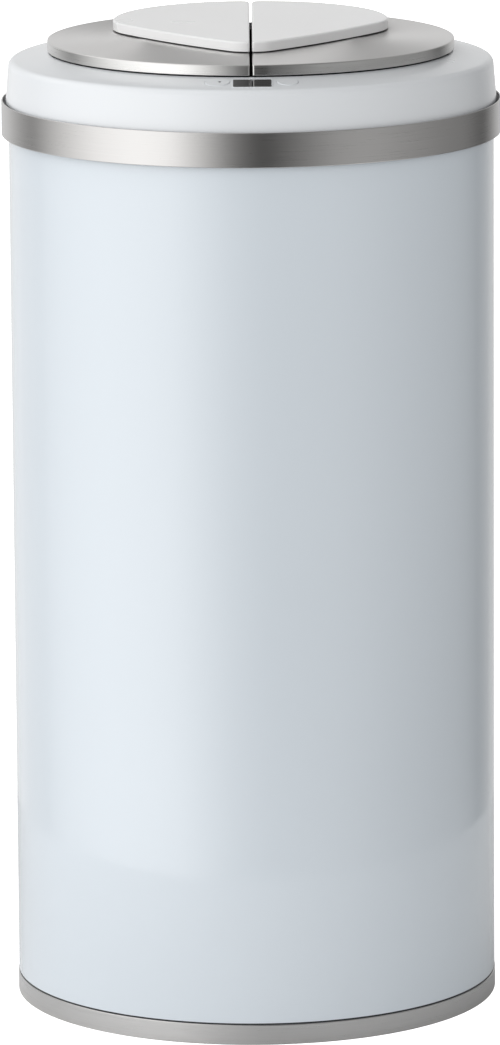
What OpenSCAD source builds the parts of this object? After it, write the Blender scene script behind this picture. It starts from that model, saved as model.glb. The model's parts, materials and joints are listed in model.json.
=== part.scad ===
// Sensor-operated waste bin, 45 litre class, with a two-wing butterfly lid.
// Millimetres. +Z is up, the front faces -Y, and the origin is on the floor at the bin's centre.

/* [Body] */
// Outside diameter of the painted steel tube
body_d = 315.8; // [315.4:0.2:316.6]
// Height of the seat where the head rests on the body
seat_z = 590; // [440:10:700]
// Thickness of the steel tube
shell_t = 0.8; // [0.6:0.1:1.2]
// Height of the brushed ring round the foot
base_ring_h = 13.7; // [12:0.1:13.7]
// Diameter of each rubber pad under the base
pad_d = 24; // [16:1:26]

/* [Head] */
// Outside diameter of the brushed band
band_d = 325; // [324.6:0.2:328]
// Height of the brushed band
band_h = 22.3; // [20:0.1:22.4]
// Inside diameter of the throat that waste drops through
throat_d = 210; // [196:2:210]
// Slope of the head's top outside the lid, in degrees
top_slope = 12; // [8:1:12]
// Radius of the rounded shoulder
shoulder_r = 5; // [3:0.5:6]

/* [Lid] */
// Diameter of the two brushed half discs together
disc_d = 264.4; // [264:0.2:265]
// Thickness of the half discs at the rim
disc_h = 6.8; // [5:0.2:7]
// Gap between the two wings
seam_gap = 1.6; // [1.2:0.2:2.4]
// Thickness of the white leaf plates
leaf_h = 6.4; // [5:0.2:8]
// Radius of the leaf plates' round back
leaf_r = 90; // [84:1:90]

/* [Controls] */
// Width of the dark sensor window
window_w = 24.4; // [20:0.2:26]
// Length of the dark sensor window along the slope
window_l = 14.2; // [10:0.2:14.2]
// Diameter of the round push button, and depth of the oval one
button_d = 13.6; // [11:0.2:14]
// Distance of the round button from the centre line
open_x = 23.1; // [22.5:0.1:24]
// Distance of the oval button's middle from the centre line
power_x = 21.4; // [21.4:0.1:23]
// Extra width of the oval button
oval_w = 2.6; // [0:0.1:2.6]

/* [Drive] */
// Tooth module of the sector gears and pinions
gear_m = 0.8; // [0.8]
// Teeth that a whole sector gear would have
sector_n = 35; // [35]
// Teeth on each pinion
pinion_n = 14; // [14]

/* [Hidden] */
$fn = 96;

// Body
body_r = body_d / 2;
bore_r = body_r - shell_t;
foot_z = 0;
ring_z = 0.5;                       // underside of the base ring's flange
flange_t = 1;
flange_in = 145;
plate_z = ring_z + flange_t;        // underside of the base plate
floor_z = 8;                        // underside of the bin's floor
floor_t = 2.4;
plate_r = body_r - 1;               // outside of the base plate's wall
plate_wall = 2.5;
plate_in = plate_r - plate_wall;
plate_h = 34;
rib_t = 2.4;
rib_rings = [60, 100];
rib_from = 20;
shadow_gap = 1;                     // dark line between the tube and the base ring
shell_z = base_ring_h + shadow_gap;
shell_top = seat_z - 4;
pad_ring_r = 122;
base_screw_r = 150;
collar_in = 152.5;
ledge_z = -24;                      // ledge of the collar that carries the bag hoop, from the seat
ledge_in = 148;
hoop_in = 142.5;
hoop_out = 152.1;
hoop_t = 2.8;
hoop_top = -17;
finger_x = 146.6;                   // finger slots of the hoop
finger_w = 3.6;
finger_l = 20;

// Head, all heights from the seat
throat_r = throat_d / 2;
throat_wall = 2.8;
throat_out = throat_r + throat_wall;
band_r = band_d / 2;
band_t = 1;
band_top = 5;
band_low = band_top - band_h;
throat_low = -28;
skirt_low = -16.4;                  // skirt that the band is pressed on
groove_z = 4.2;                     // dark groove between the band and the cover
tray_low = -15;                     // underside of the tray's well
tray_t = 2.6;
tray_floor = tray_low + tray_t;
riser_r = 151;                      // outside of the well's wall
riser_in = riser_r - 2.4;
well_z = 33.4;                      // top of the head under the lid
well_t = 2.4;
lip_r = disc_d / 2 - 0.6;           // edge of the recess under the lid
lip_z = 36.2;
side_top_r = body_r - 0.1;          // head's side wall below the shoulder
side_low_r = band_r - 2.7;          // head's side wall at its foot
wall_t = 2.4;
top_z = function (r) lip_z - (r - lip_r) * tan(top_slope);
shoulder_c = [side_top_r - shoulder_r,
              top_z(side_top_r - shoulder_r) - shoulder_r / cos(top_slope)];
side_r = function (z) side_low_r + (z - tray_t) * (side_top_r - side_low_r) / (shoulder_c.y - tray_t);

// Lid, all heights from the seat
disc_r = disc_d / 2;
disc_z = lip_z + 1;
disc_top = disc_z + disc_h;
disc_t = 0.8;
frame_z = 35.2;                     // underside of the lid frames
frame_r = 127;
leaf_z = disc_top + 0.8;
leaf_top = leaf_z + leaf_h;
half_gap = seam_gap / 2;

// Hinges and drive
hinge_x = 140;
hinge_z = 24;
shaft_r = 2.5;
arm_r = 17;
arm_t = 3;
arm_w = 24;
arm_from = 136;                     // directions round the hinge axis, in degrees
arm_to = 250;
swing = 80;                         // opening angle of each wing
mesh_dir = 245;                     // direction from the hinge axis to the pinion
sector_r = gear_m * sector_n / 2;
pinion_r = gear_m * pinion_n / 2;
pinion_x = hinge_x + (sector_r + pinion_r) * cos(mesh_dir);
pinion_z = hinge_z + (sector_r + pinion_r) * sin(mesh_dir);
gear_y = 20;
gear_w = 6;
motor_y = 28;
motor_shaft_r = 1.5;
run_fit = 0.05;                     // radial clearance of a shaft in its bearing

// Controls
control_r = 141;                    // distance of the buttons from the centre
window_r = 142.6;
open_dir = asin(open_x / control_r);
power_dir = -asin(power_x / control_r);
window_x = 0.8;                     // the window stands a little to the right
light_x = 1.6;                      // the light guide, from the middle of the oval button
board_z = 20.4;
board_t = 1.6;
board_y = -149;
board_size = [70, 25];

// Battery drawer
door_half = 56.7;
door_low = 8.3;
door_high = 25.2;
door_gap = 0.3;
cassette = [109, 31.5, 16.6];
cassette_y = 113;
cassette_z = 8.6;
cell_r = 7.1;
cell_l = 48.4;

// ---- helpers ----------------------------------------------------------------

function polar(r, a) = r * [cos(a), sin(a)];

function arc(c, r, a0, a1, n = 12) = [for (i = [0:n]) c + polar(r, a0 + (a1 - a0) * i / n)];

module at_seat() translate([0, 0, seat_z]) children();

module ring(r_in, r_out, z0, z1) rotate_extrude()
    polygon([[r_in, z0], [r_out, z0], [r_out, z1], [r_in, z1]]);

module around(count, r, first = 0) for (i = [0:count - 1])
    rotate(first + i * 360 / count) translate([r, 0, 0]) children();

// Places a child on the head's sloping top: its origin on the surface, its Z along the outward normal
module on_slope(direction, r) at_seat() rotate(direction)
    translate([0, -r, top_z(r)]) rotate([top_slope, 0, 0]) children();

// Draws a profile in the XZ plane as a solid from y0 to y1
module along_y(y0, y1) translate([0, y1, 0]) rotate([90, 0, 0]) linear_extrude(y1 - y0) children();

// The left-hand parts mirror the right-hand ones
module left() mirror([1, 0, 0]) children();

// Slice of a disc between two directions less than 180 degrees apart
module slice(c, r, a0, a1) translate(c) intersection() {
    reach = 3 * r;
    circle(r);
    polygon([[0, 0], polar(reach, a0), polar(reach, (a0 + a1) / 2), polar(reach, a1)]);
}

module ring_sector(r_in, r_out, a0, a1) difference() {
    slice([0, 0], r_out, a0, a1);
    circle(r_in);
}

// ---- body -------------------------------------------------------------------

module body_shell() color("white") rotate_extrude() polygon([
    [bore_r, shell_z], [body_r, shell_z], [body_r, shell_top], [bore_r, shell_top]]);

module base_screw_holes(r, z0, z1) around(4, base_screw_r, 45)
    translate([0, 0, z0]) cylinder(h = z1 - z0, r = r);

module base_plate() color("dimgray") difference() {
    union() {
        rotate_extrude() polygon([
            [0, floor_z], [plate_in, floor_z], [plate_in, plate_z], [plate_r, plate_z],
            [plate_r, base_ring_h], [body_r - 0.3, base_ring_h], [body_r - 0.3, shell_z],
            [plate_r, shell_z], [plate_r - 0.2, shell_z + 0.4], [plate_r - 0.2, plate_h],
            [plate_in, plate_h], [plate_in, floor_z + floor_t], [0, floor_z + floor_t]]);
        for (r = rib_rings) ring(r, r + rib_t, plate_z, floor_z);
        around(8, 0, 22.5) translate([rib_from, -rib_t / 2, plate_z])
            cube([plate_in - rib_from, rib_t, floor_z - plate_z]);
        around(4, pad_ring_r, 45) translate([0, 0, plate_z]) cylinder(h = floor_z - plate_z, d = pad_d + 4);
        around(4, base_screw_r, 45) translate([0, 0, plate_z]) cylinder(h = floor_z - plate_z, r = 4);
    }
    base_screw_holes(1.5, plate_z - 1, floor_z - 1);
}

module base_ring() color("silver") difference() {
    rotate_extrude() polygon([
        [flange_in, ring_z], [body_r + 0.1, ring_z], [body_r + 0.4, ring_z + 0.3],
        [body_r + 0.4, base_ring_h - 0.3], [body_r + 0.1, base_ring_h], [plate_r, base_ring_h],
        [plate_r, plate_z], [flange_in, plate_z]]);
    base_screw_holes(3.2, ring_z - 1, plate_z + 1);
}

module base_screws() color("gray") around(4, base_screw_r, 45) difference() {
    union() {
        translate([0, 0, ring_z + 0.1]) cylinder(h = flange_t - 0.1, r = 3);
        translate([0, 0, plate_z]) cylinder(h = floor_z - 1 - plate_z, r = 1.5);
    }
    for (turn = [0, 90]) rotate(turn) translate([-1.8, -0.35, 0]) cube([3.6, 0.7, ring_z + 0.6]);
}

module foot_pads() color("black") around(4, pad_ring_r, 45) rotate_extrude() polygon([
    [0, foot_z], [pad_d / 2 - 0.6, foot_z], [pad_d / 2, foot_z + 0.6], [pad_d / 2, plate_z], [0, plate_z]]);

module rim_collar() color("dimgray") at_seat() rotate_extrude() polygon([
    [collar_in, 0], [body_r + 0.4, 0], [body_r + 0.7, -0.3], [body_r + 0.7, -4], [bore_r, -4],
    [bore_r, ledge_z - 4], [ledge_in, ledge_z - 4], [ledge_in, ledge_z], [collar_in, ledge_z]]);

// Loose hoop that holds the top of the bag, with two finger slots
module bag_ring() color("gray") at_seat() difference() {
    rotate_extrude() polygon([
        [hoop_in, ledge_z], [hoop_out, ledge_z], [hoop_out, hoop_top - 0.4], [hoop_out - 0.4, hoop_top],
        [hoop_out - 2.2, hoop_top], [hoop_out - 2.6, hoop_top - 0.4], [hoop_out - 2.6, ledge_z + hoop_t],
        [hoop_in + 1.5, ledge_z + hoop_t], [hoop_in + 1.5, ledge_z + 5], [hoop_in, ledge_z + 5]]);
    for (side = [-1, 1]) translate([side * finger_x, 0, ledge_z - 1]) {
        for (end = [-1, 1]) translate([0, end * finger_l / 2, 0]) cylinder(h = 6, d = finger_w);
        translate([-finger_w / 2, -finger_l / 2, 0]) cube([finger_w, finger_l, 6]);
    }
}

// ---- head -------------------------------------------------------------------

head_screw_dirs = [35, 62, 118, 145, 205, 240, 300, 335];
head_screw_r = 153.2;
module at_head_screws() for (a = head_screw_dirs) rotate(a) translate([head_screw_r, 0, 0]) children();

module arm_slot() translate([hinge_x - 18.4, -arm_w / 2 - 2, well_z - well_t - 1])
    cube([7.2, arm_w + 4, well_t + 2]);

module at_board_posts() for (x = [-30, 30]) for (y = [-129, -144]) translate([x, y, 0]) children();

under_z = function (r) top_z(r) - wall_t - 0.1;

module head_cover_profile() polygon(concat(
    [[throat_out, well_z - well_t], [throat_out, well_z], [lip_r - 0.4, well_z], [lip_r, lip_z]],
    arc(shoulder_c, shoulder_r, 90 - top_slope, 0, 10),
    [[side_low_r, tray_t], [side_low_r - wall_t, tray_t],
     [shoulder_c.x + shoulder_r - wall_t, shoulder_c.y - 0.6],
     [shoulder_c.x - 0.8, under_z(shoulder_c.x - 0.8)], [lip_r + 2.4, under_z(lip_r + 2.4)],
     [lip_r - 2.2, well_z - well_t]]));

module head_cover() color("white") difference() {
    union() {
        at_seat() rotate_extrude($fn = 180) head_cover_profile();
        at_seat() intersection() {
            at_head_screws() translate([0, 0, tray_t]) cylinder(h = 40, r = 2.9);
            rotate_extrude() polygon([
                [140, tray_t], [side_low_r - 1, tray_t], [side_top_r - 1, shoulder_c.y],
                [shoulder_c.x, top_z(shoulder_c.x) - 1], [140, top_z(140) - 1]]);
        }
    }
    at_seat() at_head_screws() translate([0, 0, tray_t - 1]) cylinder(h = 14, r = 1.2);
    at_seat() arm_slot();
    left() at_seat() arm_slot();
    on_slope(0, window_r) translate([window_x - window_w / 2 - 0.1, -window_l / 2 - 0.1, -5])
        cube([window_w + 0.2, window_l + 0.2, 10]);
    on_slope(power_dir, control_r) translate([0, 0, -6]) oval(button_d + 0.4, 12, oval_w);
    on_slope(open_dir, control_r) translate([0, 0, -6]) oval(button_d + 0.4, 12, 0);
    at_seat() translate([-door_half - door_gap, 120, door_low - door_gap])
        cube([2 * (door_half + door_gap), 60, door_high - door_low + 2 * door_gap]);
}

module head_tray() color("dimgray") difference() {
    union() {
        at_seat() rotate_extrude($fn = 180) polygon([
            [throat_r, throat_low], [throat_r + 1, throat_low - 0.6], [throat_out, throat_low],
            [throat_out, tray_low], [riser_r, tray_low], [riser_r, 0], [side_low_r - 0.2, 0],
            [side_low_r - 0.2, skirt_low], [band_r - band_t, skirt_low], [band_r - band_t, groove_z],
            [side_low_r + 0.2, groove_z], [side_low_r + 0.2, tray_t], [riser_in, tray_t],
            [riser_in, tray_floor], [throat_out, tray_floor], [throat_out, well_z], [throat_r, well_z]]);
        at_seat() at_board_posts() translate([0, 0, tray_floor]) cylinder(h = board_z - tray_floor, r = 2.6);
    }
    at_seat() at_head_screws() {
        translate([0, 0, -1]) cylinder(h = 2.7, r = 3);
        translate([0, 0, -1]) cylinder(h = 8, r = 1.5);
    }
    at_seat() at_board_posts() translate([0, 0, board_z - 12]) cylinder(h = 20, r = 1.1);
    at_seat() for (side = [0, 1]) mirror([side, 0, 0])
        at_bracket_screws() translate([0, 0, -4.6]) cylinder(h = 6, r = 1.1);
}

module head_band() color("silver") at_seat() rotate_extrude($fn = 180) polygon([
    [band_r - band_t, band_low], [band_r - 0.4, band_low], [band_r, band_low + 0.4],
    [band_r, band_top - 0.4], [band_r - 0.4, band_top], [band_r - band_t + 0.3, band_top],
    [band_r - band_t, band_top - 0.3]]);

module head_screws() color("gray") at_seat() {
    at_head_screws() {
        translate([0, 0, 0.1]) cylinder(h = 1.6, r = 2.7);
        translate([0, 0, 1.7]) cylinder(h = 12.5, r = 1.2);
    }
    at_board_posts() translate([0, 0, board_z + board_t]) {
        cylinder(h = 1.4, r = 2.3);
        translate([0, 0, -11]) cylinder(h = 11, r = 1.1);
    }
}

module throat_seal() color("black") at_seat() rotate_extrude() polygon([
    [throat_r + 0.3, well_z], [throat_r + 4.3, well_z], [throat_r + 4.3, well_z + 0.8],
    [throat_r + 3.3, well_z + 1.4], [throat_r + 1.3, well_z + 1.4], [throat_r + 0.3, well_z + 0.8]]);

// ---- controls ---------------------------------------------------------------

module sensor_window() color("black") on_slope(0, window_r)
    translate([window_x - window_w / 2, -window_l / 2, -2.4]) cube([window_w, window_l, 2.5]);

module control_board() color("darkgreen") at_seat() difference() {
    union() {
        translate([-board_size.x / 2, board_y, board_z]) cube([board_size.x, board_size.y, board_t]);
        translate([-5, -133, board_z + board_t]) cube([10, 7, 1.3]);
        for (x = [-16, 16]) translate([x, -129, board_z + board_t]) cylinder(h = 6, r = 2.5);
        for (x = [-22, 15]) translate([x, -129.5, board_z - 4]) cube([7, 4, 4]);
    }
    at_board_posts() translate([0, 0, board_z - 1]) cylinder(h = 4, r = 1.3);
}

module sensor_diode(x) at_seat() translate([x, -window_r, board_z + board_t]) {
    cylinder(h = 4, r = 2.5, $fn = 32);
    translate([0, 0, 4]) sphere(2.5, $fn = 32);
    cylinder(h = 1, r = 3, $fn = 32);
}

module ir_emitter() color("indigo") sensor_diode(-6);

module ir_receiver() color("black") sensor_diode(6);

// Light guide that ends flush in the power button
module status_led() color("yellow") {
    on_slope(power_dir, control_r) translate([light_x, 0, -10]) cylinder(h = 10.3, r = 0.8, $fn = 24);
    at_seat() rotate(power_dir) translate([light_x - 1.6, -control_r - 0.6, board_z + board_t])
        cube([3.2, 3.2, 1.8]);
}

stem_x = 3.8;                       // the stem stands beside the light guide
collar_drop = 4.2;                  // underside of the collar that keeps a button in its hole

module button_switch(direction, x) rotate(direction) translate([x, 0.8 - control_r, board_z + board_t]) {
    translate([-2.2, -2.2, 0]) cube([4.4, 4.4, 2.6]);
    cylinder(h = 3.6, r = 1.2, $fn = 24);
}

module button_switches() color("dimgray") at_seat() {
    button_switch(power_dir, -stem_x);
    button_switch(open_dir, stem_x);
}

// Disc of a diameter, drawn out sideways by a width
module oval(d, h, width) {
    for (side = [-1, 1]) translate([side * width / 2, 0, 0]) cylinder(h = h, d = d);
    if (width > 0) translate([-width / 2, -d / 2, 0]) cube([width, d, h]);
}

module button_body(width, x) {
    oval(button_d - 0.8, 0.35, width);
    translate([0, 0, -collar_drop]) oval(button_d, collar_drop, width);
    translate([0, 0, -collar_drop]) oval(button_d + 1.6, 1, width);
    translate([x, 0, -7]) cylinder(h = 3.2, r = 1.8, $fn = 32);
}

module power_button() color("white") on_slope(power_dir, control_r) difference() {
    button_body(oval_w, -stem_x);
    translate([light_x, 0, -12]) cylinder(h = 14, r = 1.15);
}

module open_button() color("white") on_slope(open_dir, control_r) button_body(0, stem_x);

// Tube swept along a route of points, with a ring of corners at each point
module tube(route, r, sides = 8) {
    last = len(route) - 1;
    side_ref = [0.48, 0.36, 0.8];   // never along any stretch of a route
    along = [for (i = [0:last]) let (d = route[min(i + 1, last)] - route[max(i - 1, 0)]) d / norm(d)];
    corners = [for (i = [0:last]) let (
            u = cross(along[i], side_ref) / norm(cross(along[i], side_ref)),
            v = cross(along[i], u))
        for (k = [0:sides - 1]) let (a = 360 * k / sides) route[i] + r * (cos(a) * u + sin(a) * v)];
    walls = [for (i = [0:last - 1]) for (k = [0:sides - 1]) let (next = (k + 1) % sides)
        [i * sides + k, (i + 1) * sides + k, (i + 1) * sides + next, i * sides + next]];
    polyhedron(corners, concat([[for (k = [0:sides - 1]) k]], walls,
                               [[for (k = [sides - 1:-1:0]) last * sides + k]]));
}

// Leads clipped along the tray floor
wire_r = 1.2;
lead_z = tray_floor + wire_r + 0.3;
plug_z = board_z - 4;
function floor_run(r, a0, a1) = [for (p = arc([0, 0], r, a0, a1, 16)) [p.x, p.y, lead_z]];
battery_lead = concat(
    [[50, 111, 12], [50.5, 108.5, 11.4], [52, 105, 6], [54, 101, -4], [55.6, 98, lead_z + 1]],
    floor_run(111, 58, -77),
    [[22, -112, lead_z + 1.5], [19, -116, -4], [17.4, -122, 6], [17, -126, 12], [17, -127, plug_z]]);
motor_lead = concat([[pinion_x, motor_y + 28, pinion_z], [pinion_x - 0.5, 58.5, pinion_z - 1], [128, 62, 0],
    [121, 61, -7], [113, 54, lead_z + 1]], floor_run(115, 22, -76),
    [[25, -115, lead_z + 2], [22, -119, -2], [20.6, -124, 8], [20.5, -126.6, 13], [20.5, -127, plug_z]]);

module wire_harness() color("firebrick") at_seat() {
    tube(battery_lead, wire_r);
    tube(motor_lead, wire_r);
    left() tube(motor_lead, wire_r);
}

// ---- battery drawer ---------------------------------------------------------

module battery_housing() color("dimgray") at_seat() {
    w = cassette.x / 2 + 0.5;
    front_y = cassette_y - 1.9;
    shelf_z = tray_t + 3.4;
    for (side = [-1, 1]) translate([side * (w + 1) - 1, front_y, tray_t]) cube([2, 33, door_high - tray_t]);
    translate([-w, front_y, shelf_z]) cube([2 * w, 31, 2.3]);
    translate([-w, front_y, shelf_z + 2.3]) cube([2 * w, 1.6, 16]);
    for (x = [-42, 0, 42]) translate([x - 4, cassette_y + 2, tray_floor]) cube([8, 8, shelf_z - tray_floor]);
}

bay = [cassette.x / 2 - 2.3, cassette.y - 2.8, cassette.z];
bay_z = 1.3;                        // floor of the cassette

module battery_cassette() color("black") at_seat()
    translate([-cassette.x / 2, cassette_y, cassette_z]) difference() {
        union() {
            cube(cassette);
            translate([cassette.x / 2 - 20, cassette.y, 0]) cube([40, 10, 12]);
        }
        for (x = [1.5, cassette.x / 2 + 0.8]) translate([x, 1.4, bay_z]) cube(bay);
        translate([cassette.x / 2 - 18, cassette.y + 0.01, 1.5]) cube([36, 7, 12]);
    }

cell_rows = [cassette_y + 8.55, cassette_y + 22.95];
cell_z = cassette_z + bay_z + cell_r + 0.05;
module battery_cells() color("goldenrod") at_seat() for (side = [-1, 1]) for (row = [0, 1])
    translate([side * 27, cell_rows[row], cell_z]) rotate([0, (row == 0 ? 90 : -90), 0])
    translate([0, 0, -cell_l / 2]) {
        cylinder(h = cell_l, r = cell_r, $fn = 48);
        cylinder(h = cell_l + 1, r = 2.7, $fn = 32);
    }

module battery_contacts() color("silver") at_seat() for (side = [-1, 1]) for (y = cell_rows)
    for (x = [1.45, 52.65]) translate([side * x - 0.25, y - 4.5, cassette_z + 2]) cube([0.5, 9, 11]);

module battery_door() color("white") at_seat() {
    intersection() {
        rotate_extrude($fn = 180) polygon([
            [side_r(door_low) - wall_t, door_low], [side_r(door_low), door_low],
            [side_r(door_high), door_high], [side_r(door_high) - wall_t, door_high]]);
        translate([-door_half, 120, 0]) cube([2 * door_half, 60, 60]);
    }
}

// ---- hinges and drive, right side -------------------------------------------

function involute(rb, t) = rb * [cos(t) + t * PI / 180 * sin(t), sin(t) - t * PI / 180 * cos(t)];

pressure = 25;
addendum = 0.85;
dedendum = 1.2;
backlash = 0.16;

// Outline of one involute tooth that points along +X
function tooth(n) = let (
        r = gear_m * n / 2,
        rb = r * cos(pressure),
        ro = r + addendum * gear_m,
        rr = r - dedendum * gear_m,
        half = 90 / n - backlash / 2 / r * 180 / PI,
        inv = (tan(pressure) - pressure * PI / 180) * 180 / PI,
        t_out = sqrt(pow(ro / rb, 2) - 1) * 180 / PI,
        flank = [for (i = [0:6]) let (p = involute(rb, t_out * i / 6))
            polar(norm(p), atan2(p.y, p.x) - half - inv)],
        root = polar(rr - 0.3, -half - inv - 1),
        low = concat([root], rr < rb ? [polar(rr, -half - inv)] : [], flank))
    concat(low, [for (i = [len(low) - 1:-1:0]) [low[i].x, -low[i].y]]);

module gear_profile(n, teeth, first) {
    for (i = teeth) rotate(first + i * 360 / n) polygon(tooth(n));
}

// One tooth of the sector stands in a gap of the pinion on the line of centres
module sector_gear() color("ivory") at_seat()
    along_y(gear_y, gear_y + gear_w) translate([hinge_x, hinge_z]) difference() {
        root_r = sector_r - dedendum * gear_m;
        union() {
            gear_profile(sector_n, [-1:9], mesh_dir);
            ring_sector(3, root_r + 0.1, mesh_dir - 16, mesh_dir + swing / 2 + 2);
            ring_sector(3, root_r + 0.1, mesh_dir + swing / 2, mesh_dir + swing + 18);
            circle(5);
        }
        circle(shaft_r);
    }

module drive_pinion() color("ivory") at_seat()
    along_y(gear_y, gear_y + gear_w) translate([pinion_x, pinion_z]) difference() {
        union() {
            gear_profile(pinion_n, [0:pinion_n - 1], mesh_dir + 180 + 180 / pinion_n);
            circle(pinion_r - dedendum * gear_m);
        }
        circle(motor_shaft_r);
    }

// Places a child drawn along Z on the pinion's axis, with its Z towards the back
module on_pinion_axis() at_seat() translate([pinion_x, 0, pinion_z]) rotate([-90, 0, 0]) children();

module motor_shaft() color("silver") on_pinion_axis()
    translate([0, 0, gear_y - 1]) cylinder(h = 16, r = motor_shaft_r);

module gearmotor() color("silver") on_pinion_axis() difference() {
    union() {
        translate([0, 0, motor_y - 0.8]) cylinder(h = 1, r = 2.4);
        translate([-6, -5, motor_y]) cube([12, 10, 1.2]);
        translate([-5.4, -4.6, motor_y + 1.2]) cube([10.8, 9.2, 6.6]);
        translate([-6, -5, motor_y + 7.8]) cube([12, 10, 1.2]);
        intersection() {
            translate([0, 0, motor_y + 9]) cylinder(h = 15, r = 6);
            translate([-6, -5, motor_y]) cube([12, 10, 30]);
        }
        translate([0, 0, motor_y + 24]) cylinder(h = 0.8, r = 4.4);
        for (x = [-3, 3]) translate([x - 0.8, -0.2, motor_y + 24]) cube([1.6, 0.4, 2.6]);
    }
    translate([0, 0, motor_y - 2]) cylinder(h = 10, r = motor_shaft_r + run_fit);
}

module motor_saddle() color("dimgray") at_seat() translate([pinion_x, 40, 0]) {
    translate([-8, 0, tray_floor]) cube([16, 7, pinion_z - 5 - tray_floor]);
    for (x = [-8, 6.05]) translate([x, 0, pinion_z - 5]) cube([1.95, 7, 9]);
}

module hinge_bracket() color("dimgray") at_seat() difference() {
    union() {
        translate([hinge_x - 13, -20, tray_floor]) cube([19, 40, 2.5]);
        for (y = [-19, 14.5]) along_y(y, y + 4.5) {
            polygon([
                [hinge_x - 10, tray_floor], [hinge_x + 6, tray_floor],
                [hinge_x + 5.5, hinge_z], [hinge_x - 5.5, hinge_z]]);
            translate([hinge_x, hinge_z]) circle(5.5);
        }
    }
    translate([hinge_x, 0, hinge_z]) rotate([90, 0, 0])
        cylinder(h = 60, r = shaft_r + run_fit, center = true);
    at_bracket_screws() translate([0, 0, -5]) cylinder(h = 7, r = 1.3);
}

// Screws that hold a bracket down, between its ears and clear of the swinging arm
module at_bracket_screws() for (x = [-10, 3]) for (y = [-9, 9])
    translate([hinge_x + x, y, tray_floor + 2.5]) children();

module bracket_screw_pair() at_bracket_screws() {
    cylinder(h = 1.4, r = 2.2);
    translate([0, 0, -4.6]) cylinder(h = 4.6, r = 1.1);
}

module bracket_screws() color("gray") at_seat() {
    bracket_screw_pair();
    left() bracket_screw_pair();
}

module hinge_shaft() color("silver") at_seat()
    translate([hinge_x, -23, hinge_z]) rotate([-90, 0, 0]) cylinder(h = 51, r = shaft_r);

module shaft_clips() color("gray") at_seat() for (y = [-20.2, gear_y + gear_w + 0.2])
    along_y(y, y + 0.8) translate([hinge_x, hinge_z]) difference() {
        circle(4.4);
        circle(shaft_r);
        rotate(-60) translate([0, -1]) square([8, 2]);
    }

// ---- lid wing, right side ---------------------------------------------------

// Keeps what lies to the right of the seam
module right_of(x, z0, z1) translate([x, -200, z0]) cube([200, 400, z1 - z0]);

lid_screw_spots = [[20, -45], [22, 96], [70, 20], [62, 72]];

module lid_disc() color("silver") at_seat() difference() {
    intersection() {
        rotate_extrude($fn = 180) polygon([
            [0, disc_z], [disc_r, disc_z], [disc_r, disc_top - 0.9], [disc_r - 0.25, disc_top - 0.25],
            [disc_r - 0.9, disc_top], [0, disc_top]]);
        right_of(half_gap, disc_z - 1, disc_top + 1);
    }
    intersection() {
        translate([0, 0, disc_z - 1]) cylinder(h = disc_h + 1 - disc_t, r = disc_r - disc_t);
        right_of(half_gap + disc_t, disc_z - 2, disc_top);
    }
    for (p = lid_screw_spots) translate([p.x, p.y, disc_z]) cylinder(h = 20, r = 1.6);
}

leaf_c = [0, 40];                   // centre of the leaf's round back
leaf_cheek_r = 50;
leaf_cheek_c = leaf_c + [leaf_r - leaf_cheek_r, 0];
leaf_cheek_a = -33;
leaf_flank_r = 520;
leaf_flank_c = leaf_cheek_c - polar(leaf_flank_r - leaf_cheek_r, leaf_cheek_a);
leaf_tip_a = -45;
leaf_tip_r = 16;
leaf_tip_c = leaf_flank_c + polar(leaf_flank_r - leaf_tip_r, leaf_tip_a);
leaf_corner_r = 7;

leaf_corner_x = half_gap + leaf_corner_r;
leaf_corner_c = [leaf_corner_x, leaf_c.y + sqrt(pow(leaf_r - leaf_corner_r, 2) - pow(leaf_corner_x, 2))];
leaf_corner_a = atan2(leaf_corner_c.y - leaf_c.y, leaf_corner_c.x);

// Outline of the right leaf, drawn in by a distance all round
module leaf_outline(inset) intersection() {
    union() {
        slice(leaf_corner_c, leaf_corner_r - inset, leaf_corner_a, 180);
        slice(leaf_c, leaf_r - inset, 0, leaf_corner_a);
        slice(leaf_cheek_c, leaf_cheek_r - inset, leaf_cheek_a, 0);
        slice(leaf_flank_c, leaf_flank_r - inset, leaf_tip_a, leaf_cheek_a);
        slice(leaf_tip_c, leaf_tip_r - inset, -135, leaf_tip_a);
        polygon([
            [half_gap, leaf_corner_c.y], leaf_corner_c, leaf_cheek_c, leaf_tip_c, [half_gap, leaf_tip_c.y]]);
    }
    translate([half_gap + inset, -200]) square([200, 400]);
}

module leaf_layer(z0, z1, inset) translate([0, 0, z0]) linear_extrude(z1 - z0) leaf_outline(inset);

module at_lid_screws() for (p = lid_screw_spots) translate([p.x, p.y, 0]) children();

module lid_leaf() color("white") at_seat() difference() {
    union() {
        difference() {
            leaf_layer(leaf_z, leaf_top, 0);
            leaf_layer(leaf_z - 1, leaf_top - 2.2, 2.2);
        }
        at_lid_screws() translate([0, 0, leaf_z]) cylinder(h = leaf_h - 1.5, r = 3.4);
    }
    at_lid_screws() translate([0, 0, leaf_z - 1]) cylinder(h = leaf_h - 1, r = 1.2);
}

// The gasket follows the leaf's outline a distance inside it, with plain corners at the seam
function gasket_outline(inset) = concat(
    [[half_gap + inset, leaf_corner_c.y - 3]],
    arc(leaf_c, leaf_r - inset, 82, 4, 12),
    arc(leaf_cheek_c, leaf_cheek_r - inset, 0, leaf_cheek_a + 3, 5),
    arc(leaf_flank_c, leaf_flank_r - inset, leaf_cheek_a, leaf_tip_a, 5),
    [[half_gap + inset, leaf_tip_c.y - leaf_tip_r + inset + 1]]);

module leaf_gasket() color("black") at_seat() difference() {
    translate([0, 0, disc_top]) linear_extrude(leaf_z - disc_top) polygon(gasket_outline(1.2));
    translate([0, 0, disc_top - 1]) linear_extrude(3) polygon(gasket_outline(5));
}

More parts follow.
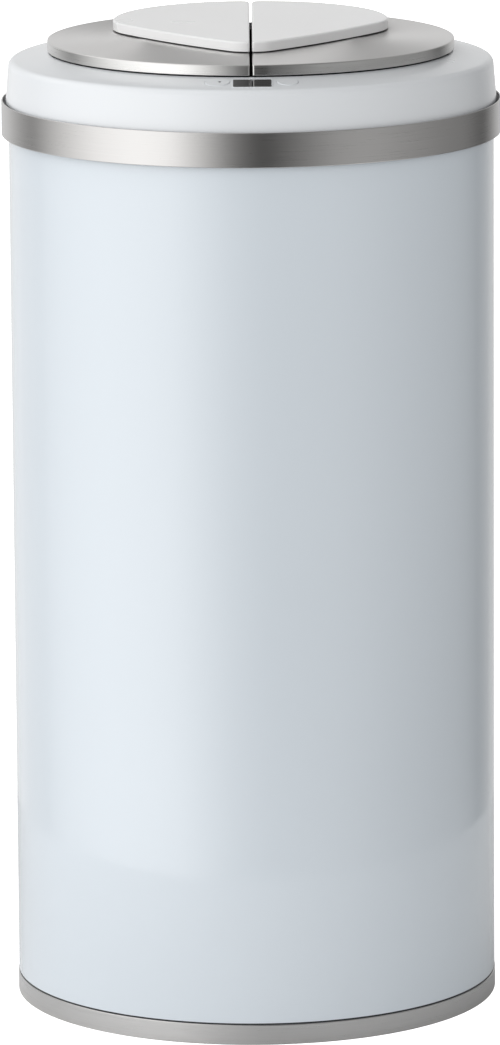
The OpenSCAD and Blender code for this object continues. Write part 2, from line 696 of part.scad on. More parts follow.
module arm_profile() translate([hinge_x, hinge_z]) difference() {
    union() {
        intersection() {
            ring_sector(arm_r - arm_t / 2, arm_r + arm_t / 2, arm_from - 3, arm_to);
            union() {
                translate([-40, -40]) square([29.4, 80]);
                translate([-40, -40]) square([40, 40]);
            }
        }
        rotate(arm_to - 6) translate([3, -1.8]) square([arm_r - 2.5, 3.6]);
        circle(5.4);
    }
    circle(shaft_r);
}

module lid_frame() color("dimgray") at_seat() difference() {
    rib_h = disc_top - disc_t - disc_z;
    rim_r = disc_r - disc_t - 0.1;
    union() {
        intersection() {
            translate([0, 0, frame_z]) cylinder(h = disc_z - frame_z, r = frame_r);
            right_of(half_gap + 1, 0, 60);
        }
        intersection() {
            union() {
                ring(rim_r - 3.9, rim_r, disc_z, disc_z + rib_h);
                translate([0, -130, disc_z]) cube([6, 260, rib_h]);
                for (y = [-78, -28, 28, 78]) translate([0, y - rib_t / 2, disc_z])
                    cube([disc_r - 6, rib_t, rib_h]);
                translate([62, -110, disc_z]) cube([rib_t, 220, rib_h]);
                at_lid_screws() translate([0, 0, disc_z]) cylinder(h = rib_h, r = 4.4);
            }
            translate([0, 0, disc_z]) cylinder(h = 20, r = rim_r);
            right_of(half_gap + disc_t + 0.1, 0, 60);
        }
        translate([112, -arm_w / 2, frame_z]) cube([17.4, arm_w, disc_z - frame_z]);
        along_y(-arm_w / 2, arm_w / 2) arm_profile();
    }
    at_lid_screws() {
        translate([0, 0, frame_z - 1]) cylinder(h = 2.7, r = 3);
        translate([0, 0, frame_z]) cylinder(h = 20, r = 1.5);
    }
    translate([hinge_x - 12, -arm_w / 2 + 5, hinge_z + 2]) cube([7, arm_w - 10, 4]);
}

module lid_screws() color("gray") at_seat() at_lid_screws() difference() {
    union() {
        translate([0, 0, frame_z + 0.2]) cylinder(h = 1.5, r = 2.7);
        translate([0, 0, frame_z + 1.7]) cylinder(h = leaf_z + leaf_h - 3 - frame_z - 1.7, r = 1.2);
    }
    for (turn = [0, 90]) rotate(turn) translate([-1.6, -0.3, frame_z]) cube([3.2, 0.6, 0.9]);
}

module seam_seal() color("black") at_seat() intersection() {
    translate([0, 0, frame_z]) cylinder(h = 1.8, r = frame_r - 2);
    translate([half_gap - 0.2, -120, frame_z]) cube([1.2, 240, 1.8]);
}

// ---- assembly ---------------------------------------------------------------

body_shell();
base_plate();
base_ring();
base_screws();
foot_pads();
rim_collar();
bag_ring();
head_cover();
head_tray();
head_band();
head_screws();
throat_seal();
sensor_window();
control_board();
ir_emitter();
ir_receiver();
status_led();
button_switches();
power_button();
open_button();
wire_harness();
battery_housing();
battery_cassette();
battery_cells();
battery_contacts();
battery_door();
left() hinge_bracket();  // hinge_bracket_left
hinge_bracket();  // hinge_bracket_right
bracket_screws();
left() gearmotor();  // gearmotor_left
gearmotor();  // gearmotor_right
left() motor_saddle();  // motor_saddle_left
motor_saddle();  // motor_saddle_right
left() motor_shaft();  // motor_shaft_left
motor_shaft();  // motor_shaft_right
left() drive_pinion();  // drive_pinion_left
drive_pinion();  // drive_pinion_right
left() lid_disc();  // lid_disc_left
lid_disc();  // lid_disc_right
left() lid_leaf();  // lid_leaf_left
lid_leaf();  // lid_leaf_right
left() leaf_gasket();  // leaf_gasket_left
leaf_gasket();  // leaf_gasket_right
left() lid_frame();  // lid_frame_left
lid_frame();  // lid_frame_right
left() lid_screws();  // lid_screws_left
lid_screws();  // lid_screws_right
left() seam_seal();  // seam_seal_left
seam_seal();  // seam_seal_right
left() hinge_shaft();  // hinge_shaft_left
hinge_shaft();  // hinge_shaft_right
left() sector_gear();  // sector_gear_left
sector_gear();  // sector_gear_right
left() shaft_clips();  // shaft_clips_left
shaft_clips();  // shaft_clips_right
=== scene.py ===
import json
import math
import bmesh
import bpy
from mathutils import Matrix, Vector


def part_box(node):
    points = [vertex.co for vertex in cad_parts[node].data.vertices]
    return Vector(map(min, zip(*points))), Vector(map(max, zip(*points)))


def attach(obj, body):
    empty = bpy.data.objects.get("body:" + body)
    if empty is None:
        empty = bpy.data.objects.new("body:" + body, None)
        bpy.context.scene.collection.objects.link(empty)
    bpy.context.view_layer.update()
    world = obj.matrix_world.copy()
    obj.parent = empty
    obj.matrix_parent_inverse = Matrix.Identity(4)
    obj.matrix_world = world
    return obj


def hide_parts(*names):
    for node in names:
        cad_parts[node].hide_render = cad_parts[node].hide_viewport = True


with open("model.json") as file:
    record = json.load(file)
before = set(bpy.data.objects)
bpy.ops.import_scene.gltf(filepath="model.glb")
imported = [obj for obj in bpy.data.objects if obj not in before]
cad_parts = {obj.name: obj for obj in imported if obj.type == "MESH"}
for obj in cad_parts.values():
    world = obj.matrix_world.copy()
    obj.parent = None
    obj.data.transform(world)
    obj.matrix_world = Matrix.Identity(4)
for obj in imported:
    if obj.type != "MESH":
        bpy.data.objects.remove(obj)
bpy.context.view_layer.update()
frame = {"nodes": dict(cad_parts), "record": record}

MM = 0.001
ROUND_STEPS = 360               # sides of the turned pieces
SHARP_ANGLE = 38                # degrees between faces, from which an edge is shaded as sharp
nodes = frame["nodes"]

# ---- camera -------------------------------------------------------------------

CAMERA_PLACE = Vector((-0.0026, -4.9626, 1.3017))
CAMERA_PITCH = math.radians(11.27)          # downwards
CAMERA_ROLL = -0.0069
CAMERA_LENS = 265.2


def make_camera():
    right = Vector((1, 0, 0))
    ahead = Vector((0, math.cos(CAMERA_PITCH), -math.sin(CAMERA_PITCH)))
    up = right.cross(ahead)
    c, s = math.cos(CAMERA_ROLL), math.sin(CAMERA_ROLL)
    rolled_right = c * right + s * up
    rolled_up = c * up - s * right
    turn = Matrix((rolled_right, rolled_up, -ahead)).transposed().to_4x4()
    data = bpy.data.cameras.new("camera")
    data.lens = CAMERA_LENS
    data.sensor_width = 36
    data.clip_start = 0.1
    data.clip_end = 100
    camera = bpy.data.objects.new("camera", data)
    camera.matrix_world = Matrix.Translation(CAMERA_PLACE) @ turn
    bpy.context.scene.collection.objects.link(camera)
    bpy.context.scene.camera = camera


make_camera()


# ---- material helpers ----------------------------------------------------------

class Shader:
    """A node material under construction."""

    def __init__(self, name, colour, roughness, **sockets):
        self.material = bpy.data.materials.new(name)
        self.material.use_nodes = True
        self.nodes = self.material.node_tree.nodes
        self.links = self.material.node_tree.links
        self.bsdf = self.nodes["Principled BSDF"]
        self.base = (*colour, 1)
        self.bsdf.inputs["Base Color"].default_value = self.base
        self.bsdf.inputs["Roughness"].default_value = roughness
        self.roughness = roughness
        for socket, value in sockets.items():
            self.bsdf.inputs[socket.replace("_", " ")].default_value = value

    def node(self, kind, **settings):
        made = self.nodes.new(kind)
        for key, value in settings.items():
            setattr(made, key, value)
        return made

    def math(self, operation, a, b=None):
        made = self.node("ShaderNodeMath", operation=operation)
        for socket, value in zip(made.inputs, (a, b)):
            if value is None:
                continue
            if isinstance(value, (int, float)):
                socket.default_value = value
            else:
                self.links.new(value, socket)
        return made.outputs[0]

    def place(self):
        return self.node("ShaderNodeTexCoord").outputs["Object"]

    def scaled(self, x, y, z):
        """Object coordinates, each stretched by its own factor."""
        mapping = self.node("ShaderNodeMapping")
        mapping.inputs["Scale"].default_value = (x, y, z)
        self.links.new(self.place(), mapping.inputs["Vector"])
        return mapping.outputs[0]

    def round_the_axis(self, along, out, up):
        """Coordinates that follow the circumference, the radius and the height."""
        split = self.node("ShaderNodeSeparateXYZ")
        self.links.new(self.place(), split.inputs[0])
        x, y, z = split.outputs
        angle = self.math("ARCTAN2", x, y)
        squares = self.math("ADD", self.math("MULTIPLY", x, x), self.math("MULTIPLY", y, y))
        radius = self.math("SQRT", squares)
        join = self.node("ShaderNodeCombineXYZ")
        self.links.new(self.math("MULTIPLY", angle, along), join.inputs[0])
        self.links.new(self.math("MULTIPLY", radius, out), join.inputs[1])
        self.links.new(self.math("MULTIPLY", z, up), join.inputs[2])
        return join.outputs[0]

    def noise(self, vector, scale, detail=3.0, roughness=0.5):
        made = self.node("ShaderNodeTexNoise")
        made.inputs["Scale"].default_value = scale
        made.inputs["Detail"].default_value = detail
        made.inputs["Roughness"].default_value = roughness
        self.links.new(vector, made.inputs["Vector"])
        return made.outputs["Fac"]

    def span(self, value, low, high, start=0.3, end=0.7):
        made = self.node("ShaderNodeMapRange")
        for name, number in (("From Min", start), ("From Max", end), ("To Min", low), ("To Max", high)):
            made.inputs[name].default_value = number
        self.links.new(value, made.inputs["Value"])
        return made.outputs[0]

    def vary_colour(self, value, darker, start=0.3, end=0.7):
        """The base colour, times darker where value is low."""
        mix = self.node("ShaderNodeMix", data_type="RGBA")
        mix.inputs[6].default_value = (*(c * darker for c in self.base[:3]), 1)
        mix.inputs[7].default_value = self.base
        self.links.new(self.span(value, 0, 1, start, end), mix.inputs[0])
        self.links.new(mix.outputs[2], self.bsdf.inputs["Base Color"])

    def vary_roughness(self, value, spread):
        low, high = self.roughness - spread, self.roughness + spread
        self.links.new(self.span(value, low, high), self.bsdf.inputs["Roughness"])

    def bump(self, value, height, strength=1.0):
        made = self.node("ShaderNodeBump")
        made.inputs["Strength"].default_value = strength
        made.inputs["Distance"].default_value = height
        self.links.new(value, made.inputs["Height"])
        self.links.new(made.outputs[0], self.bsdf.inputs["Normal"])


def gloss_paint():
    s = Shader("shell_paint", (0.75, 0.812, 0.868), 0.34, Coat_Weight=1.0, Coat_Roughness=0.04)
    peel = s.noise(s.round_the_axis(0.158, 1, 1), 420, 2)
    s.bump(peel, 0.00002, 0.35)
    s.vary_roughness(s.noise(s.place(), 9, 4), 0.03)
    s.vary_colour(s.noise(s.place(), 3, 2), 0.985)
    return s.material


def gloss_moulding(name, colour):
    s = Shader(name, colour, 0.3, Coat_Weight=0.6, Coat_Roughness=0.08)
    s.bump(s.noise(s.place(), 900, 2), 0.00001, 0.3)
    s.vary_roughness(s.noise(s.place(), 14, 4), 0.03)
    s.vary_colour(s.noise(s.place(), 6, 2), 0.988)
    return s.material


def brushed_round(name, colour=(0.72, 0.715, 0.7), roughness=0.3, streak=0.93):
    """Steel brushed along the circumference."""
    s = Shader(name, colour, roughness, Metallic=1.0, Anisotropic=0.75, Anisotropic_Rotation=0.25)
    tangent = s.node("ShaderNodeTangent", direction_type="RADIAL", axis="Z")
    s.links.new(tangent.outputs[0], s.bsdf.inputs["Tangent"])
    fine = s.noise(s.round_the_axis(1.4, 1200, 1200), 1.6, 3, 0.65)
    s.bump(fine, 0.000015, 0.5)
    s.vary_roughness(fine, 0.035)
    s.vary_colour(fine, streak)
    return s.material


def grained_moulding(name, colour, roughness=0.55):
    """Plastic with a fine spark-eroded grain."""
    s = Shader(name, colour, roughness)
    grain = s.noise(s.place(), 2600, 2)
    s.bump(grain, 0.00003, 0.5)
    s.vary_roughness(s.noise(s.place(), 60, 3), 0.06)
    s.vary_colour(s.noise(s.place(), 25, 3), 0.9)
    return s.material


def soft_rubber():
    s = Shader("soft_rubber", (0.022, 0.022, 0.023), 0.72)
    s.bump(s.noise(s.place(), 1500, 3), 0.00004, 0.6)
    s.vary_roughness(s.noise(s.place(), 40, 3), 0.08)
    s.vary_colour(s.noise(s.place(), 30, 4), 0.75)
    return s.material


def plain_metal(name, colour, roughness):
    s = Shader(name, colour, roughness, Metallic=1.0)
    worn = s.noise(s.place(), 220, 4)
    s.vary_roughness(worn, 0.07)
    s.vary_colour(worn, 0.88)
    s.bump(s.noise(s.scaled(500, 500, 4000), 1, 2), 0.00001, 0.3)
    return s.material


def dark_gloss():
    s = Shader("window_gloss", (0.012, 0.012, 0.013), 0.08, Coat_Weight=1.0, Coat_Roughness=0.02)
    s.vary_roughness(s.noise(s.place(), 120, 3), 0.02)
    s.vary_colour(s.noise(s.place(), 80, 2), 0.85)
    return s.material


def clear_moulding(name, colour):
    s = Shader(name, colour, 0.14, Coat_Weight=0.5)
    s.vary_roughness(s.noise(s.place(), 300, 2), 0.03)
    s.vary_colour(s.noise(s.place(), 300, 2), 0.8)
    return s.material


def circuit_board():
    s = Shader("board", (0.02, 0.16, 0.06), 0.35, Coat_Weight=0.4)
    tracks = s.node("ShaderNodeTexBrick")
    tracks.inputs["Scale"].default_value = 260
    tracks.inputs["Mortar Size"].default_value = 0.012
    s.links.new(s.place(), tracks.inputs["Vector"])
    s.vary_colour(tracks.outputs["Fac"], 1.8, 0, 1)
    s.bump(tracks.outputs["Fac"], 0.00004, 0.5)
    return s.material


def cell_wrap():
    """Shrink film with a dark end band, drawn along the length of the cells."""
    s = Shader("cell_wrap", (0.6, 0.36, 0.06), 0.25, Coat_Weight=0.5)
    split = s.node("ShaderNodeSeparateXYZ")
    s.links.new(s.place(), split.inputs[0])
    from_middle = s.math("ABSOLUTE", s.math("SUBTRACT", s.math("ABSOLUTE", split.outputs[0]), 0.027))
    s.vary_colour(from_middle, 0.06, 0.0105, 0.0103)
    s.vary_roughness(s.noise(s.place(), 300, 3), 0.04)
    return s.material


MATERIALS = {
    "shell_paint": gloss_paint(),
    "brushed_trim": brushed_round("brushed_trim", (0.62, 0.61, 0.6)),
    "brushed_disc": brushed_round("brushed_disc", (0.78, 0.77, 0.76), roughness=0.36, streak=0.97),
    "white_plastic": gloss_moulding("white_plastic", (0.85, 0.875, 0.9)),
    # Dark moulded plastic, made near-black partly as painted shade: the ledge seen through the thin gap
    # between the tube and the foot ring shows as a black shadow line.
    "inner_plastic": grained_moulding("inner_plastic", (0.03, 0.031, 0.034)),
    "soft_rubber": soft_rubber(),
    "screw_steel": plain_metal("screw_steel", (0.55, 0.55, 0.56), 0.26),
    "window_gloss": dark_gloss(),
    "board": circuit_board(),
    "diode_plastic": clear_moulding("diode_plastic", (0.03, 0.02, 0.06)),
    "light_guide": clear_moulding("light_guide", (0.05, 0.05, 0.055)),
    "wire_jacket": grained_moulding("wire_jacket", (0.42, 0.025, 0.02), 0.4),
    "cell_wrap": cell_wrap(),
    "contact_plate": plain_metal("contact_plate", (0.72, 0.7, 0.66), 0.22),
    "motor_case": plain_metal("motor_case", (0.56, 0.56, 0.57), 0.32),
    "shaft_steel": plain_metal("shaft_steel", (0.5, 0.5, 0.52), 0.18),
    "gear_plastic": grained_moulding("gear_plastic", (0.72, 0.68, 0.58), 0.42),
}
RIM_STEEL = brushed_round("brushed_rim")
FOOT_STEEL = brushed_round("brushed_foot", (0.67, 0.66, 0.65))
LEAF_WHITE = gloss_moulding("leaf_white", (0.95, 0.95, 0.95))

for part in frame["record"]["subparts"]:
    mesh = nodes[part["node"]].data
    mesh.materials.clear()
    mesh.materials.append(MATERIALS[part["material_slot"]])


# ---- shape helpers --------------------------------------------------------------

def arc(centre, radius, start, end, steps):
    """Points along an arc; the angles are in degrees."""
    turned = (math.radians(start + (end - start) * i / steps) for i in range(steps + 1))
    return [(centre[0] + radius * math.cos(a), centre[1] + radius * math.sin(a)) for a in turned]


def rounded(points, radii, steps=5):
    """A closed outline with each corner rounded to its own radius."""
    made = []
    for i, corner in enumerate(points):
        here = Vector(corner)
        before = (Vector(points[i - 1]) - here).normalized()
        after = (Vector(points[(i + 1) % len(points)]) - here).normalized()
        radius = radii[i]
        if radius == 0:
            made.append(tuple(here))
            continue
        half = before.angle(after) / 2
        centre = here + (before + after).normalized() * radius / math.sin(half)
        first = here + before * radius / math.tan(half) - centre
        last = here + after * radius / math.tan(half) - centre
        sweep = first.angle_signed(last)
        for k in range(steps + 1):
            a = -sweep * k / steps
            made.append((centre.x + first.x * math.cos(a) - first.y * math.sin(a),
                         centre.y + first.x * math.sin(a) + first.y * math.cos(a)))
    return made


def finish_piece(name, bm, body, slot, stands_for=(), materials=None):
    """Makes the mesh into a piece that rides on its body and stands for the CAD nodes named."""
    bmesh.ops.remove_doubles(bm, verts=bm.verts, dist=1e-7)
    bmesh.ops.recalc_face_normals(bm, faces=bm.faces)
    mesh = bpy.data.meshes.new(name)
    bm.to_mesh(mesh)
    bm.free()
    for material in materials or [MATERIALS[slot]]:
        mesh.materials.append(material)
    piece = bpy.data.objects.new(name, mesh)
    bpy.context.scene.collection.objects.link(piece)
    mesh.shade_smooth()
    mesh.set_sharp_from_angle(angle=math.radians(SHARP_ANGLE))
    weighted = piece.modifiers.new("weighted", "WEIGHTED_NORMAL")
    weighted.keep_sharp = True
    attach(piece, body)
    if stands_for:
        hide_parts(*stands_for)


def bridge(bm, here, there):
    """Joins two loops of vertices with a belt of faces."""
    for k in range(len(here)):
        after = (k + 1) % len(here)
        bm.faces.new([here[k], here[after], there[after], there[k]])


def lathe(profile):
    """A closed profile of (radius, height) in millimetres turned round the Z axis."""
    bm = bmesh.new()
    turns = [2 * math.pi * k / ROUND_STEPS for k in range(ROUND_STEPS)]
    rings = [[bm.verts.new((radius * MM * math.cos(a), radius * MM * math.sin(a), height * MM))
              for a in turns] for radius, height in profile]
    for here, there in zip(rings, rings[1:] + rings[:1]):
        bridge(bm, here, there)
    return bm


def stacked(loops, mirror=False, bm=None):
    """A solid through loops of equal length, from the hollow's ceiling round the rim to the top."""
    bm = bm or bmesh.new()
    side = -1 if mirror else 1
    rings = [[bm.verts.new((side * x * MM, y * MM, z * MM)) for x, y in outline] for outline, z in loops]
    for here, there in zip(rings, rings[1:]):
        bridge(bm, here, there)
    bm.faces.new(rings[0])
    bm.faces.new(rings[-1])
    return bm


def edge_steps(radius, steps=6):
    """(inset, drop) pairs round a quarter circle, from the wall to the flat."""
    turned = (math.pi / 2 * i / steps for i in range(steps + 1))
    return [(radius * (1 - math.cos(a)), radius * (1 - math.sin(a))) for a in turned]


# ---- sizes read from the frame, in millimetres -------------------------------------

def size(node):
    low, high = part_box(node)
    return low / MM, high / MM


seat_z = size("rim_collar")[1].z
shell_low, shell_high = size("body_shell")
band_low, band_high = size("head_band")
disc_low, disc_high = size("lid_disc_right")
leaf_low, leaf_high = size("lid_leaf_right")


# ---- tube and band ------------------------------------------------------------------

SHEET = 0.8                     # thickness of the tube's steel
BAND_WALL = 1
INNER_EDGE = 0.3                # rounding of the edges that face inwards
TUBE_EDGE = 0.35
BAND_EDGE = 0.45
SEAM_HALF_WIDTH = 3.2
SEAM_RISE = 0.35
SEAM_SINK = 0.2                 # how far the seam's foot lies under the tube's skin
SEAM_END = 0.2                  # how far the seam stops short of the tube's ends


def tube():
    outer = shell_high.x
    inner = outer - SHEET
    low, high = shell_low.z, shell_high.z
    profile = rounded([(inner, low), (outer, low), (outer, high), (inner, high)],
                      [INNER_EDGE, TUBE_EDGE, TUBE_EDGE, INNER_EDGE], 3)
    finish_piece("tube", lathe(profile), "bin", "shell_paint", ["body_shell"])


def tube_seam():
    """The lock seam up the back of the tube: a low, narrow fold with soft edges."""
    outer = shell_high.x
    flank = [(SEAM_HALF_WIDTH, -SEAM_SINK), (SEAM_HALF_WIDTH - 0.5, SEAM_RISE * 0.8),
             (SEAM_HALF_WIDTH - 1.1, SEAM_RISE)]
    across = [(-along, out) for along, out in flank] + flank[::-1]
    bm = bmesh.new()
    ends = []
    for z in (shell_low.z + SEAM_END, shell_high.z - SEAM_END):
        ring = []
        for along, out in across:
            a = math.pi / 2 + along / outer
            r = (outer + out) * MM
            ring.append(bm.verts.new((r * math.cos(a), r * math.sin(a), z * MM)))
        ends.append(ring)
    bridge(bm, *ends)
    bm.faces.new(ends[0])
    bm.faces.new(ends[1])
    finish_piece("tube_seam", bm, "bin", "shell_paint")


def band():
    outer = band_high.x
    inner = outer - BAND_WALL
    low, high = band_low.z, band_high.z
    profile = rounded([(inner, low), (outer, low), (outer, high), (inner, high)],
                      [INNER_EDGE, BAND_EDGE, BAND_EDGE, INNER_EDGE], 5)
    finish_piece("band", lathe(profile), "head", "brushed_trim", ["head_band"])


# ---- lid wings -------------------------------------------------------------------------

DISC_WALL = 0.8
DISC_EDGE = 0.9
DISC_CORNER = 1.4
DISC_SKIRT_EDGE = 0.25
INNER_CHAMFER = 0.2
FLAT = 0.9                      # a face whose normal is steeper than this counts as the disc's flat
LEAF_EDGE = 1.3
LEAF_CORNER = 1.6
LEAF_UNDER_EDGE = 0.3


def disc_outline(inset):
    """The right half disc, drawn in by inset."""
    radius = disc_high.x
    seam = disc_low.x
    centre_x = seam + DISC_CORNER
    centre_y = math.sqrt((radius - DISC_CORNER) ** 2 - centre_x ** 2)
    reach = math.degrees(math.atan2(centre_y, centre_x))
    return (arc((centre_x, -centre_y), DISC_CORNER - inset, -180, -reach, 6)
            + arc((0, 0), radius - inset, -reach, reach, 128)[1:]
            + arc((centre_x, centre_y), DISC_CORNER - inset, reach, 180, 6)[1:])


def half_disc(side):
    low, high = disc_low.z, disc_high.z
    loops = [(disc_outline(DISC_WALL + INNER_CHAMFER), high - DISC_WALL),
             (disc_outline(DISC_WALL), high - DISC_WALL - INNER_CHAMFER),
             (disc_outline(DISC_WALL), low + INNER_CHAMFER),
             (disc_outline(DISC_WALL - INNER_CHAMFER), low)]
    loops += [(disc_outline(inset), low + drop) for inset, drop in reversed(edge_steps(DISC_SKIRT_EDGE, 3))]
    loops += [(disc_outline(inset), high - drop) for inset, drop in edge_steps(DISC_EDGE)]
    bm = stacked(loops, side == "left")
    bm.faces.ensure_lookup_table()
    bm.normal_update()
    for face in bm.faces:
        face.material_index = 0 if abs(face.normal.z) > FLAT else 1
    finish_piece(f"half_disc_{side}", bm, f"wing_{side}", "brushed_disc", [f"lid_disc_{side}"],
                 [MATERIALS["brushed_disc"], RIM_STEEL])


BACK_CENTRE = (0, 40)
BACK_R = leaf_high.x
CHEEK_R = 50
CHEEK_ANGLE = -33
FLANK_R = 520
TIP_R = 16
TIP_ANGLE = -45
BACK_CORNER = 7


def moved(centre, distance, angle):
    a = math.radians(angle)
    return centre[0] + distance * math.cos(a), centre[1] + distance * math.sin(a)


def leaf_outline(inset):
    """The right leaf, drawn in by inset: tangent arcs from the seam's front round to its back."""
    seam = leaf_low.x
    cheek = (BACK_CENTRE[0] + BACK_R - CHEEK_R, BACK_CENTRE[1])
    flank = moved(cheek, CHEEK_R - FLANK_R, CHEEK_ANGLE)
    tip = moved(flank, FLANK_R - TIP_R, TIP_ANGLE)
    front_x = seam + LEAF_CORNER
    front_y = tip[1] - math.sqrt((TIP_R - LEAF_CORNER) ** 2 - (front_x - tip[0]) ** 2)
    front_angle = math.degrees(math.atan2(front_y - tip[1], front_x - tip[0]))
    back_x = seam + BACK_CORNER
    back_y = BACK_CENTRE[1] + math.sqrt((BACK_R - BACK_CORNER) ** 2 - back_x ** 2)
    back_angle = math.degrees(math.atan2(back_y - BACK_CENTRE[1], back_x))
    return (arc((front_x, front_y), LEAF_CORNER - inset, -180, front_angle, 6)
            + arc(tip, TIP_R - inset, front_angle, TIP_ANGLE, 16)[1:]
            + arc(flank, FLANK_R - inset, TIP_ANGLE, CHEEK_ANGLE, 24)[1:]
            + arc(cheek, CHEEK_R - inset, CHEEK_ANGLE, 0, 16)[1:]
            + arc(BACK_CENTRE, BACK_R - inset, 0, back_angle, 48)[1:]
            + arc((back_x, back_y), BACK_CORNER - inset, back_angle, 180, 12)[1:])


def leaf(side):
    low, high = leaf_low.z, leaf_high.z
    loops = [(leaf_outline(inset), low + drop) for inset, drop in reversed(edge_steps(LEAF_UNDER_EDGE, 3))]
    loops += [(leaf_outline(inset), high - drop) for inset, drop in edge_steps(LEAF_EDGE, 8)]
    finish_piece(f"leaf_{side}", stacked(loops, side == "left"), f"wing_{side}", "white_plastic",
                 [f"lid_leaf_{side}"], [LEAF_WHITE])


# ---- foot ring and controls -------------------------------------------------------------

FOOT_BORE = 145                 # inner radius of the foot ring's flange
FOOT_WALL = 1.4
FOOT_FLANGE = 1
FOOT_EDGE = 0.5


def foot_ring():
    low, high = size("base_ring")
    outer = high.x
    inner, shelf = outer - FOOT_WALL, low.z + FOOT_FLANGE
    profile = rounded([(FOOT_BORE, low.z), (outer, low.z), (outer, high.z), (inner, high.z), (inner, shelf),
                       (FOOT_BORE, shelf)], [0, FOOT_EDGE, FOOT_EDGE, 0, 0, 0], 5)
    finish_piece("foot_ring", lathe(profile), "bin", "brushed_trim", ["base_ring"],
                 [FOOT_STEEL])


SLOPE = math.radians(12)
LIP = (131.6, 36.2)             # radius and height over the seat where the slope starts
WINDOW_R = 142.6
WINDOW_X = 0.8
WINDOW = (24.4, 14.2)           # width, and depth along the slope
PANE_GAP = 0.35
PANE_CORNER = 0.9
PANE_EDGE = 0.3
PANE_INSET = 0.05
PANE_RISE = 0.1                 # the panes' top over the slope
PANE_SINK = 2.3                 # the panes' underside below the slope


def on_slope(x, radius):
    """The frame of a spot at the front of the head's sloping top, its Z along the surface's normal."""
    height = seat_z + LIP[1] - (radius - LIP[0]) * math.tan(SLOPE)
    return Matrix.Translation((x * MM, -radius * MM, height * MM)) @ Matrix.Rotation(SLOPE, 4, "X")


def rounded_box(x0, x1, half_depth, radius, inset=0):
    corners = [(x0 + inset, -half_depth + inset), (x1 - inset, -half_depth + inset),
               (x1 - inset, half_depth - inset), (x0 + inset, half_depth - inset)]
    return rounded(corners, [max(radius - inset, 0.05)] * 4, 5)


def window():
    """Two dark panes side by side, and the thin pale lip round them."""
    half_width, half_depth = WINDOW[0] / 2, WINDOW[1] / 2
    panes = bmesh.new()
    for x0, x1 in ((-half_width, -PANE_GAP / 2), (PANE_GAP / 2, half_width)):
        loops = [(rounded_box(x0, x1, half_depth, PANE_CORNER, PANE_INSET), -PANE_SINK)]
        loops += [(rounded_box(x0, x1, half_depth, PANE_CORNER, PANE_INSET + inset), PANE_RISE - drop)
                  for inset, drop in edge_steps(PANE_EDGE, 4)]
        stacked(loops, bm=panes)
    place = on_slope(WINDOW_X, WINDOW_R)
    bmesh.ops.transform(panes, matrix=place, verts=panes.verts)
    finish_piece("window_panes", panes, "head", "window_gloss", ["sensor_window"])

    lip = bmesh.new()
    # (inset, height over the slope), round the lip's section
    rings = [(0.02, -0.2), (0.02, 0.12), (-0.12, 0.26), (-0.5, 0.26), (-0.75, 0.1), (-0.8, -0.2)]
    loops = [(rounded_box(-half_width, half_width, half_depth, 1.0, inset), z) for inset, z in rings]
    made = [[lip.verts.new((x * MM, y * MM, z * MM)) for x, y in outline] for outline, z in loops]
    for here, there in zip(made, made[1:] + made[:1]):
        bridge(lip, here, there)
    bmesh.ops.transform(lip, matrix=place, verts=lip.verts)
    finish_piece("window_lip", lip, "head", "white_plastic")


BUTTON_EDGE = 0.3


def soften(name, width):
    """Rounds the edges of a CAD node without changing its size."""
    piece = nodes[name]
    bevel = piece.modifiers.new("soft_edges", "BEVEL")
    bevel.width = width * MM
    bevel.segments = 3
    bevel.limit_method = "ANGLE"
    bevel.angle_limit = math.radians(40)


# ---- studio ------------------------------------------------------------------------------

def stage_disc(name, radius, height, glow):
    """A pale round floor; with a glow of 1 the camera sees it pure white."""
    bm = bmesh.new()
    bmesh.ops.create_circle(bm, cap_ends=True, segments=128, radius=radius)
    bmesh.ops.translate(bm, verts=bm.verts, vec=(0, 0, height))
    mesh = bpy.data.meshes.new(name)
    bm.to_mesh(mesh)
    bm.free()
    s = Shader(name, (0.9, 0.9, 0.9), 0.9, Specular_IOR_Level=0.0)
    s.vary_colour(s.noise(s.place(), 2, 2), 0.995)
    s.bsdf.inputs["Emission Color"].default_value = (1, 1, 1, 1)
    s.bsdf.inputs["Emission Strength"].default_value = glow
    s.material.cycles.emission_sampling = "NONE"
    mesh.materials.append(s.material)
    disc = bpy.data.objects.new(name, mesh)
    bpy.context.scene.collection.objects.link(disc)
    return disc


# The studio's walls: (degrees to the right of the camera, brightness). They are a large bright panel on the
# left, a black card in front, a dim wall on the right and a bright wall behind.
STUDIO = [(-180, 0.8), (-150, 0.75), (-120, 0.25), (-75, 1.5), (-55, 1.75), (-38, 1.75), (-10, 0.3),
          (5, 0), (40, 0.35), (115, 0.3), (135, 0.1), (155, 0.6), (180, 0.8)]
# What shines up from below the walls, and down from above them, by the same directions.
FROM_BELOW = [(-180, 0.4), (-120, 1), (-60, 1), (0, 0.1), (60, 1.3), (120, 0), (180, 0.4)]
OVERHEAD = [(-180, 0.3), (-120, 1.3), (-60, 1.3), (0, 0.2), (120, 0.4), (180, 0.3)]
# Distant soft lamps that reflections do not show, by the same directions.
SOFT_LAMPS = [(-110, 0.15), (-15, 0.35), (40, 0.5)]
LAMP_RISE = 12                  # degrees above the horizon
LAMP_SPREAD = 60                # degrees that each lamp spans
# Height of a direction's end on the unit sphere: where the walls take over from what is below them, and where
# what is overhead takes over from the walls.
WALL_START = (-0.42, -0.26)
WALL_END = (0.22, 0.5)


def soft_lamp(degrees, strength):
    a, e = math.radians(degrees), math.radians(LAMP_RISE)
    towards = Vector((math.sin(a) * math.cos(e), -math.cos(a) * math.cos(e), math.sin(e)))
    data = bpy.data.lights.new("soft_lamp", "SUN")
    data.energy = strength
    data.angle = math.radians(LAMP_SPREAD)
    lamp = bpy.data.objects.new("soft_lamp", data)
    lamp.rotation_mode = "QUATERNION"
    lamp.rotation_quaternion = (-towards).to_track_quat("-Z", "Y")
    lamp.visible_glossy = False
    bpy.context.scene.collection.objects.link(lamp)


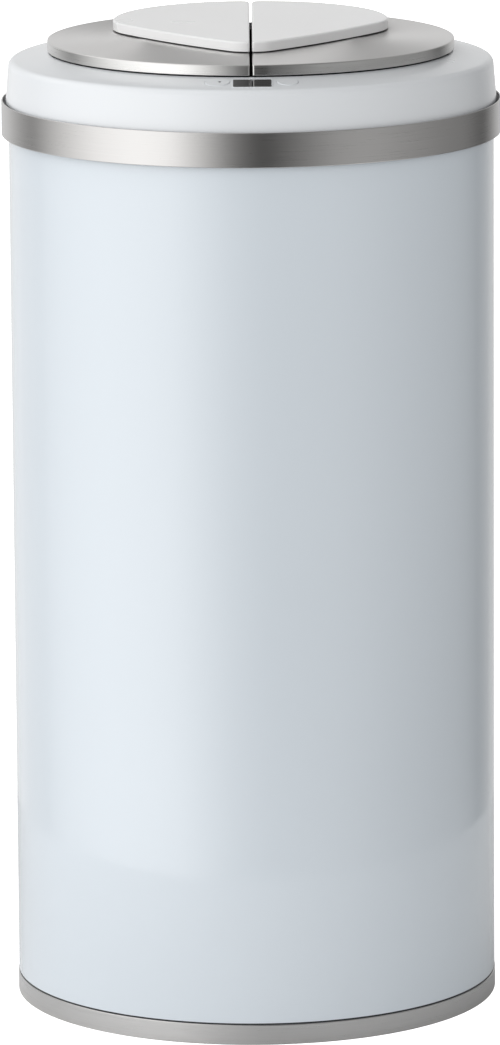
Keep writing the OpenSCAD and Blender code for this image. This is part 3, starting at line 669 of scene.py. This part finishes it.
def studio_light():
    world = bpy.data.worlds.new("studio")
    bpy.context.scene.world = world
    world.use_nodes = True
    tree = world.node_tree
    tree.nodes.clear()

    def node(kind, **settings):
        made = tree.nodes.new(kind)
        for key, value in settings.items():
            setattr(made, key, value)
        return made

    split = node("ShaderNodeSeparateXYZ")
    tree.links.new(node("ShaderNodeTexCoord").outputs["Generated"], split.inputs[0])
    back = node("ShaderNodeMath", operation="MULTIPLY")
    back.inputs[1].default_value = -1
    tree.links.new(split.outputs[1], back.inputs[0])
    angle = node("ShaderNodeMath", operation="ARCTAN2")
    tree.links.new(split.outputs[0], angle.inputs[0])
    tree.links.new(back.outputs[0], angle.inputs[1])
    turn = node("ShaderNodeMapRange")
    turn.inputs["From Min"].default_value = -math.pi
    turn.inputs["From Max"].default_value = math.pi
    tree.links.new(angle.outputs[0], turn.inputs["Value"])

    def ring(stops, name):
        ramp = node("ShaderNodeValToRGB", name=name)
        while len(ramp.color_ramp.elements) < len(stops):
            ramp.color_ramp.elements.new(0.5)
        for element, (degrees, value) in zip(ramp.color_ramp.elements, stops):
            element.position = degrees / 360 + 0.5
            element.color = (value, value, value, 1)
        tree.links.new(turn.outputs[0], ramp.inputs[0])
        return ramp.outputs[0]

    def layer(lower, upper, start, end):
        """Passes from the lower colour to the upper one as the direction rises."""
        rise = node("ShaderNodeMapRange", interpolation_type="SMOOTHSTEP")
        rise.inputs["From Min"].default_value = start
        rise.inputs["From Max"].default_value = end
        tree.links.new(split.outputs[2], rise.inputs["Value"])
        mix = node("ShaderNodeMix", data_type="RGBA")
        tree.links.new(rise.outputs[0], mix.inputs[0])
        tree.links.new(lower, mix.inputs[6])
        tree.links.new(upper, mix.inputs[7])
        return mix.outputs[2]

    walls = layer(ring(FROM_BELOW, "below"), ring(STUDIO, "ring"), *WALL_START)
    lit = node("ShaderNodeBackground")
    tree.links.new(layer(walls, ring(OVERHEAD, "overhead"), *WALL_END), lit.inputs[0])
    tree.links.new(lit.outputs[0], node("ShaderNodeOutputWorld").inputs[0])


tube()
tube_seam()
band()
for wing in ("left", "right"):
    half_disc(wing)
    leaf(wing)
foot_ring()
window()
for button in ("power_button", "open_button"):
    soften(button, BUTTON_EDGE)

# The small floor only shades the bin from below. The wide one is what the camera sees, and it neither lights
# the bin nor keeps any light from it.
floor = stage_disc("floor", 0.6, 0, 0)
floor.visible_camera = False
surround = stage_disc("surround", 60, -0.0005, 1)
surround.visible_diffuse = False
surround.visible_glossy = False
surround.visible_shadow = False
studio_light()
for degrees, strength in SOFT_LAMPS:
    soft_lamp(degrees, strength)
bpy.context.scene.view_settings.view_transform = "Standard"
